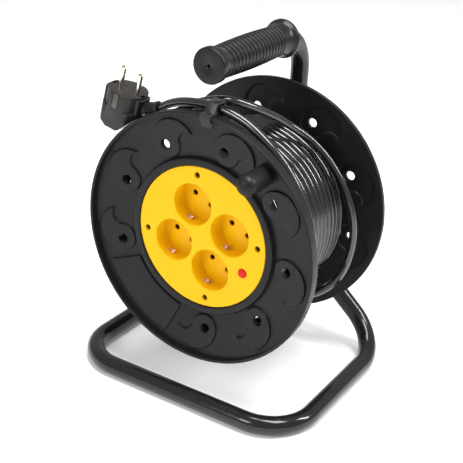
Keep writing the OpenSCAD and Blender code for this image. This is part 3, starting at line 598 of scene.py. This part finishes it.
def comma_inside(x, z, first, skip=-1):
    """How far inside a comma pad each point is, below zero outside."""
    best = np.full(x.shape, -50.0)
    for k in range(PADS):
        if k == skip:
            continue
        a = math.radians(first + PAD_STEP * k - 90)
        u = x * math.cos(a) + z * math.sin(a)
        v = -x * math.sin(a) + z * math.cos(a) - PAD_RING_R
        big = np.minimum(COMMA_BIG_R - np.hypot(u - COMMA_REACH, v), v)
        head = COMMA_HEAD_R - np.hypot(u - COMMA_HEAD_AT, v)
        bite = np.hypot(u - COMMA_BITE_AT[0], v - COMMA_BITE_AT[1]) - COMMA_BITE_R
        best = np.maximum(best, np.minimum(np.maximum(big, head), bite))
    return best


def label_inside(x, z):
    """How far inside the label pad each point is."""
    corner = LABEL_CORNER_R
    r = np.hypot(x, z)
    skew = LABEL_SKEW * (LABEL_MID_R - r) / LABEL_HALF_H
    turn = np.degrees(np.arctan2(z, x)) - LABEL_ANGLE - skew
    turn = np.abs((turn + 180) % 360 - 180)
    e1 = LABEL_HALF_H - np.abs(r - LABEL_MID_R)
    e2 = r * np.sin(np.radians(np.clip(LABEL_HALF_ANGLE - turn, -60, 60)))
    flat = np.minimum(e1, e2)
    bent = corner - np.hypot(np.maximum(corner - e1, 0), np.maximum(corner - e2, 0))
    return np.where((e1 < corner) & (e2 < corner), bent, flat)


def pad_height(inside):
    """The share of a pad's height at a distance inside its outline: foot, wall and round edge."""
    return np.interp(inside, PAD_LEVELS, PAD_SHARES)


def circle(x, z, r, sides):
    angles = (2 * math.pi * k / sides for k in range(sides))
    return [(x + r * math.cos(a), z + r * math.sin(a)) for a in angles]


def level_points(inside, level, spacing, low, high):
    """Evenly spread points on the line where inside equals level."""
    grid = 0.45
    steps = np.arange(-high, high + 0.4, grid)
    x, z = (g.ravel() for g in np.meshgrid(steps, steps))
    r = np.hypot(x, z)
    near = (r > low) & (r < high) & (np.abs(inside(x, z) - level) < grid)
    x, z = x[near], z[near]
    h = 0.01
    for _ in range(5):
        f = inside(x, z) - level
        gx = (inside(x + h, z) - inside(x - h, z)) / (2 * h)
        gz = (inside(x, z + h) - inside(x, z - h)) / (2 * h)
        n = np.maximum(gx * gx + gz * gz, 0.25)
        x, z = x - f * gx / n, z - f * gz / n
    good = np.abs(inside(x, z) - level) < 0.02
    taken, out = {}, []
    for px, pz in zip(x[good], z[good]):
        cell = (int(px // spacing), int(pz // spacing))
        close = (q for i in (-1, 0, 1) for j in (-1, 0, 1)
                 for q in taken.get((cell[0] + i, cell[1] + j), ()))
        if all((q[0] - px) ** 2 + (q[1] - pz) ** 2 > spacing ** 2 for q in close):
            taken.setdefault(cell, []).append((px, pz))
            out.append((px, pz))
    return out


def web(parts, low, high, height, inside=None, holes=(), ring_step=3.2):
    """A flange's web from radius low to high. height gives y at x and z, and holes are (x, z, r)."""
    sides = RIM_SIDES
    points = circle(0, 0, low, sides) + circle(0, 0, high, sides)
    if inside:
        for level in PAD_LEVELS:
            points += level_points(inside, level, PAD_POINT_STEP, low + 0.6, high - 0.6)
    for hx, hz, hr in holes:
        for grow in EDGE_STEPS:
            points += circle(hx, hz, hr + grow, HOLE_SIDES)
    plain = []
    rings = max(2, int((high - low) / ring_step))
    for i in range(1, rings):
        r = low + (high - low) * i / rings
        n = int(2 * math.pi * r / 4)
        plain += [(r * math.cos(a), r * math.sin(a))
                  for a in (2 * math.pi * (k + 0.5 * (i % 2)) / n for k in range(n))]
    if plain:
        p = np.array(plain)
        keep = np.ones(len(p), bool)
        if inside:
            d = inside(p[:, 0], p[:, 1])
            keep &= (d < -1.2) | (d > 2.2)
        for hx, hz, hr in holes:
            keep &= np.hypot(p[:, 0] - hx, p[:, 1] - hz) > hr + 1.4
        points += [tuple(q) for q in p[keep]]
    allowed = [q for q in points
               if all(math.hypot(q[0] - hx, q[1] - hz) > hr - 1e-4 for hx, hz, hr in holes)]
    loops = [(k, (k + 1) % sides) for k in range(sides)]
    loops += [(sides + k, sides + (k + 1) % sides) for k in range(sides)]
    flat, _, tris, *_ = delaunay_2d_cdt([Vector(q) for q in allowed], loops, [], 0, 1e-5)
    xz = np.array([tuple(v) for v in flat])
    y = height(xz[:, 0], xz[:, 1])
    faces = []
    for f in tris:
        c = sum((flat[i] for i in f), Vector((0, 0))) / len(f)
        r = c.length
        if r < low * math.cos(math.pi / sides) or r > high:
            continue
        if any(math.hypot(c.x - hx, c.y - hz) < hr for hx, hz, hr in holes):
            continue
        faces.append(tuple(f))
    parts.add([(v[0], h, v[1]) for v, h in zip(xz, y)], faces)


def pad_hole_places(first, skip=-1):
    places = [polar(PAD_RING_R, first + PAD_STEP * k) for k in range(PADS) if k != skip]
    return [(p.x, p.z, PAD_HOLE_R) for p in places]


def hole_edge(x, z, holes, drop):
    """Rounds the surface down into each hole by up to drop."""
    fall = np.zeros(x.shape)
    for hx, hz, hr in holes:
        d = np.hypot(x - hx, z - hz) - hr
        fall = np.maximum(fall, np.interp(d, EDGE_STEPS, [drop, drop * 0.3, 0]))
    return fall


def web_at(r):
    """Y of the dished front web at a radius."""
    return WEB_Y + DISH * (WEB_OUT_R - r) / (WEB_OUT_R - WEB_IN_R)


def make_front_flange():
    parts = Parts()
    holes = pad_hole_places(FRONT_PAD_ANGLE, LABEL_PAD)

    def inside(x, z):
        return np.maximum(comma_inside(x, z, FRONT_PAD_ANGLE, LABEL_PAD), label_inside(x, z))

    def front(x, z):
        r = np.hypot(x, z)
        pad = pad_height(inside(x, z)) * PAD_H
        pad *= np.interp(r, [76.6, 78.0, 114.4, 115.8], [0, 1, 1, 0])
        return web_at(r) - pad + hole_edge(x, z, holes, 0.35)

    def back(x, z):
        r = np.hypot(x, z)
        return np.interp(r, [BARREL_R - 2.5, 116], [WEB_BACK_Y, WEB_Y + WEB_T])

    ring_foot_r = 76.5
    lap_r = 116.0
    web(parts, ring_foot_r, WEB_OUT_R, front, inside, holes)
    web(parts, BARREL_R - 2.5, lap_r, back, None, holes, 8)
    for hx, hz, hr in holes:
        r = math.hypot(hx, hz)
        parts.lathe([(hr, web_at(r) - PAD_H + 0.35), (hr, web_at(r) + WEB_T)], HOLE_SIDES, (hx, hz))
    ring_y = FACE_Y - 1.4
    seat_r = 55
    parts.lathe(rounded([
        (ring_foot_r, web_at(ring_foot_r)), (RING_R + RING_WALL, FACE_Y + 0.4, 1.0),
        (RING_R + RING_WALL - 0.6, ring_y, 1.2), (RING_R + 0.8, ring_y, 0.9),
        (RING_R, FACE_Y - 0.4, 0.4), (RING_R, LEDGE_Y), (seat_r, LEDGE_Y), (seat_r, LEDGE_Y + 3),
        (SPIGOT_IN_R, LEDGE_Y + 3), (SPIGOT_IN_R, WEB_BACK_Y + SPIGOT_L),
        (SPIGOT_OUT_R, WEB_BACK_Y + SPIGOT_L), (SPIGOT_OUT_R, WEB_BACK_Y),
        (BARREL_R - 2.5, WEB_BACK_Y)]), RIM_SIDES)
    parts.lathe(rounded([
        (WEB_OUT_R, WEB_Y), (WEB_OUT_R, 0.2, 0.9), (WEB_OUT_R + 0.7, 0, 0.8), (FLANGE_R - 0.6, 0, 0.9),
        (FLANGE_R, 0.6, 0.8), (FLANGE_R, RIM_DEPTH - 0.2, 0.5), (FLANGE_R - 0.5, RIM_DEPTH, 0.4),
        (WEB_OUT_R, RIM_DEPTH), (lap_r, WEB_Y + WEB_T)]), RIM_SIDES)
    seat = polar(KNOB_RING_R, KNOB_ANGLE)
    seat_y = web_at(106.8) - PAD_H
    parts.lathe(rounded([(0, seat_y), (9.4, seat_y, 0.4), (9.6, web_at(98))]), 64, (seat.x, seat.z))
    for k in range(4):
        q = polar(SCREW_RING_R, SCREW_ANGLE + 90 * k)
        parts.lathe([(SCREW_POST_R, 17), (SCREW_POST_R, 30), (0, 30)], 32, (q.x, q.z))
        q = polar(TIE_SCREW_RING_R, SCREW_ANGLE + 45 + 90 * k)
        parts.lathe([(TIE_POST_R, 17), (TIE_POST_R, 34), (0, 34)], 32, (q.x, q.z))
    parts.make("front_flange_shell", "drum", "black_plastic", ["front_flange"])


def make_rear_flange():
    parts = Parts()
    holes = pad_hole_places(REAR_PAD_ANGLE)

    def inside(x, z):
        return comma_inside(x, z, REAR_PAD_ANGLE)

    def front(x, z):
        r = np.hypot(x, z)
        pad = pad_height(inside(x, z)) * RECESS_H
        pad *= np.interp(r, [76.6, 78.0, 115.0, 116.0], [0, 1, 1, 0])
        return REAR_PLATE_Y + pad + hole_edge(x, z, holes, 0.3)

    def back(x, z):
        return REAR_BACK_Y + pad_height(inside(x, z)) * PAD_H - hole_edge(x, z, holes, 0.35)

    edge_r = 118.9
    back_in_r = 66.0
    web(parts, BARREL_R - 2.5, edge_r, front, inside, holes)
    web(parts, back_in_r, WEB_OUT_R, back, inside, holes)
    for hx, hz, hr in holes:
        parts.lathe([(hr, REAR_PLATE_Y + RECESS_H + 0.3), (hr, REAR_BACK_Y + PAD_H - 0.35)],
                    HOLE_SIDES, (hx, hz))
    parts.lathe(rounded([
        (edge_r, REAR_PLATE_Y), (FLANGE_R, REAR_PLATE_Y, 0.7), (FLANGE_R, DRUM_DEPTH - 0.6, 0.9),
        (FLANGE_R - 0.8, DRUM_DEPTH, 0.8), (WEB_OUT_R + 0.6, DRUM_DEPTH, 0.8),
        (WEB_OUT_R, DRUM_DEPTH - 0.6, 0.6), (WEB_OUT_R, REAR_BACK_Y)]), RIM_SIDES)
    parts.lathe(rounded([
        (back_in_r, REAR_BACK_Y), (HUB_R + 8, REAR_BACK_Y), (HUB_R + 1, REAR_BACK_Y),
        (HUB_BORE_R, REAR_BACK_Y), (HUB_BORE_R, HUB_END_Y), (HUB_R, HUB_END_Y), (HUB_R, REAR_PLATE_Y),
        (SPIGOT_IN_R, REAR_PLATE_Y), (SPIGOT_IN_R, REAR_PLATE_Y - SPIGOT_L),
        (SPIGOT_OUT_R, REAR_PLATE_Y - SPIGOT_L), (SPIGOT_OUT_R, REAR_PLATE_Y),
        (BARREL_R - 2.5, REAR_PLATE_Y)]), RIM_SIDES)
    parts.make("rear_flange_shell", "drum", "black_plastic", ["rear_flange"])


# ------------------------------------------------------------------ socket panel
def sheet(parts, radius, at, y, holes, outline_sides, hole_sides):
    """A flat disc at y, with round holes as (x, z, r)."""
    points = circle(*at, radius, outline_sides)
    loops = [(k, (k + 1) % outline_sides) for k in range(outline_sides)]
    for hx, hz, hr in holes:
        start = len(points)
        points += circle(hx, hz, hr, hole_sides)
        loops += [(start + k, start + (k + 1) % hole_sides) for k in range(hole_sides)]
    flat, _, tris, *_ = delaunay_2d_cdt([Vector(q) for q in points], loops, [], 0, 1e-5)
    faces = []
    for f in tris:
        c = sum((flat[i] for i in f), Vector((0, 0))) / len(f)
        if all(math.hypot(c.x - hx, c.y - hz) > hr * 0.999 for hx, hz, hr in holes):
            faces.append(tuple(f))
    parts.add([(v.x, y, v.y) for v in flat], faces)


def make_panel():
    """The yellow face and its four wells."""
    parts = Parts()
    places = [(x, z) for x in (-HALF_PITCH, HALF_PITCH) for z in (-HALF_PITCH, HALF_PITCH)]
    mouth = MOUTH_R + 0.5
    floor_r = WELL_R - 1.2
    pin_edge = 0.5
    screws = [polar(SCREW_RING_R, SCREW_ANGLE + 90 * k) for k in range(4)]
    screw_end_y = LEDGE_Y + 3.5
    holes = [(x, z, mouth) for x, z in places]
    holes += [(q.x, q.z, SCREW_HOLE_R + 0.4) for q in screws]
    holes += [(BUTTON_AT, 0, BUTTON_R + 0.6)]
    sheet(parts, FACE_R - 0.5, (0, 0), FACE_Y, holes, RIM_SIDES, ROUND_SIDES)
    parts.lathe(rounded([(FACE_R - 0.5, FACE_Y), (FACE_R, FACE_Y, 0.5), (FACE_R, LEDGE_Y),
                         (60, LEDGE_Y)]), RIM_SIDES)
    for x, z in places:
        parts.lathe(rounded([(mouth, FACE_Y), (MOUTH_R - 0.1, FACE_Y + 0.12, 0.7),
                             (WELL_R, FACE_Y + 1.1, 1.2), (WELL_R, WELL_FLOOR_Y - 0.1, 0.9),
                             (floor_r, WELL_FLOOR_Y)], 4), ROUND_SIDES, (x, z))
        pins = [(x + s * PIN_PITCH / 2, z, PIN_HOLE_R + pin_edge) for s in (-1, 1)]
        sheet(parts, floor_r, (x, z), WELL_FLOOR_Y, pins, ROUND_SIDES, HOLE_SIDES)
        for hx, hz, hr in pins:
            parts.lathe(rounded([(hr, WELL_FLOOR_Y), (hr - pin_edge, WELL_FLOOR_Y + 0.1, 0.4),
                                 (hr - pin_edge, WELL_FLOOR_Y + 2)]), HOLE_SIDES, (hx, hz))
    for q in screws:
        parts.lathe(rounded([(SCREW_HOLE_R + 0.4, FACE_Y), (SCREW_HOLE_R, FACE_Y, 0.4),
                             (SCREW_HOLE_R, screw_end_y), (0, screw_end_y)]), ROUND_SIDES, (q.x, q.z))
    parts.lathe(rounded([(BUTTON_R + 0.6, FACE_Y), (BUTTON_R + 0.2, FACE_Y, 0.3),
                         (BUTTON_R + 0.2, LEDGE_Y)]), ROUND_SIDES, (BUTTON_AT, 0))
    parts.make("socket_panel", "drum", "yellow_plastic",
               ["socket_face", "well_upper", "well_right", "well_left", "well_lower"])


# ------------------------------------------------------------------ turned pieces
def make_grip():
    """The ribbed rubber grip, with a lip at its front end and a flare at its rear end."""
    parts = Parts()
    profile = [(0.0, 3.2), (1.5, 3.2), (1.5, 0.5), (2.2, 0.05), (GRIP_R, 0.0), (15.3, 0.2), (15.9, 0.7),
               (16.2, 1.5), (16.2, 6.6), (15.9, 7.6), (15.2, 9.2), (14.6, 10.6), (GRIP_R, 12.4)]
    rib = ((0.0, 0.35), (0.08, 0.05), (0.2, 0.0), (0.3, 0.0), (0.42, 0.05), (0.5, 0.35), (0.58, 1.0),
           (0.92, 1.0))
    for i in range(GRIP_RIBS):
        for share, dip in rib:
            y = GRIP_RIB_FROM + (i + share) * GRIP_RIB_STEP
            bulge = GRIP_BULGE * math.sin(math.pi * (i + share) / GRIP_RIBS)
            profile.append((GRIP_R + bulge - dip, y))
    flare = GRIP_L - GRIP_FLARE_L
    profile += [(GRIP_R, flare - 0.4), (14.5, flare + 1), (15.2, flare + 4), (16.6, flare + 7),
                (17.6, flare + 7.9), (18.2, flare + 8.8), (18.4, flare + 9.6), (18.4, GRIP_L - 0.7),
                (18.1, GRIP_L - 0.15), (17.6, GRIP_L), (GRIP_BORE_R, GRIP_L), (GRIP_BORE_R, GRIP_L - 6)]
    parts.lathe([(r, y + GRIP_FRONT_Y) for r, y in profile], 128, (0, HANDLE_H))
    parts.make("grip", "stand", "grip_rubber", ["handle_grip"], 42, stand)


def make_knob():
    """The crank knob, a round-ended rod with a blind bore for its pin."""
    parts = Parts()
    at = polar(KNOB_RING_R, KNOB_ANGLE)
    r = KNOB_R
    bore_end = KNOB_ROOT_Y - KNOB_BORE_L
    dome_y = KNOB_ROOT_Y - KNOB_L + r
    body = [(KNOB_BORE_R, KNOB_ROOT_Y), (r - 1.0, KNOB_ROOT_Y), (r - 0.5, KNOB_ROOT_Y - 0.3),
            (r - 0.3, KNOB_ROOT_Y - 1.5), (r, bore_end), (r, dome_y)]
    body += [(r * math.cos(math.radians(a)), dome_y - r * math.sin(math.radians(a)))
             for a in range(6, 90, 6)] + [(0.0, dome_y - r)]
    parts.lathe(body, ROUND_SIDES, (at.x, at.z))
    parts.lathe([(KNOB_BORE_R, KNOB_ROOT_Y), (KNOB_BORE_R, bore_end), (0, bore_end)], HOLE_SIDES,
                (at.x, at.z))
    parts.make("knob", "knob", "black_plastic", ["crank_knob"])


def make_button():
    parts = Parts()
    y = FACE_Y - 1.2
    r = BUTTON_R
    parts.lathe(rounded([(0, y + 0.1), (r - 0.9, y, 0.5), (r - 0.15, y + 0.15, 0.5), (r, y + 0.8, 0.4),
                         (r, y + 6.2), (2, y + 6.2), (2, y + 14.2), (0, y + 14.2)]), 64, (BUTTON_AT, 0))
    parts.make("button", "button", "button_red", ["reset_button"])


def softened(node, name, slot, width, segments=2, sharp=30.0, look=None):
    """A copy of a CAD node with its sharp edges rounded, in its slot's finish or its own look."""
    mesh = frame["nodes"][node].data.copy()
    mesh.name = name
    bm = bmesh.new()
    bm.from_mesh(mesh)
    bmesh.ops.remove_doubles(bm, verts=bm.verts, dist=0.003 * MM)
    bmesh.ops.dissolve_limit(bm, angle_limit=math.radians(0.8), verts=bm.verts, edges=bm.edges)
    edges = [e for e in bm.edges if e.is_manifold and e.calc_face_angle(0) > math.radians(sharp)]
    bmesh.ops.bevel(bm, geom=edges, offset=width * MM, offset_type="OFFSET", segments=segments,
                    profile=0.5, affect="EDGES", clamp_overlap=True)
    bm.to_mesh(mesh)
    bm.free()
    body = frame["nodes"][node]["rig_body"]
    mesh.normals_split_custom_set([(0, 0, 0)] * len(mesh.loops))
    obj = finish_piece(name, body, slot, mesh, [node])
    if look:
        obj.material_slots[0].material = look
    return obj


# ------------------------------------------------------------------ all of it
def main():
    make_camera()
    softened("plug_body", "plug", "plug_plastic", 0.8, 3)
    softened("plug_earth_contacts", "plug_earth", "brass_strip", 0.2,
             look=metal("dull_strip", (0.13, 0.12, 0.112), 0.42, (1, 1, 6)))
    make_cord()
    make_stage()
    make_front_flange()
    make_rear_flange()
    make_panel()
    make_grip()
    make_knob()
    make_button()
    softened("cord_clip", "clip", "clip_plastic", 0.35, 3)
    softened("earth_strip", "earth_contacts", "copper_strip", 0.15)
    for obj in frame["nodes"].values():
        for s in obj.material_slots:
            s.material = MATERIALS[s.material.name.split(".")[0]] if s.material else s.material


main()
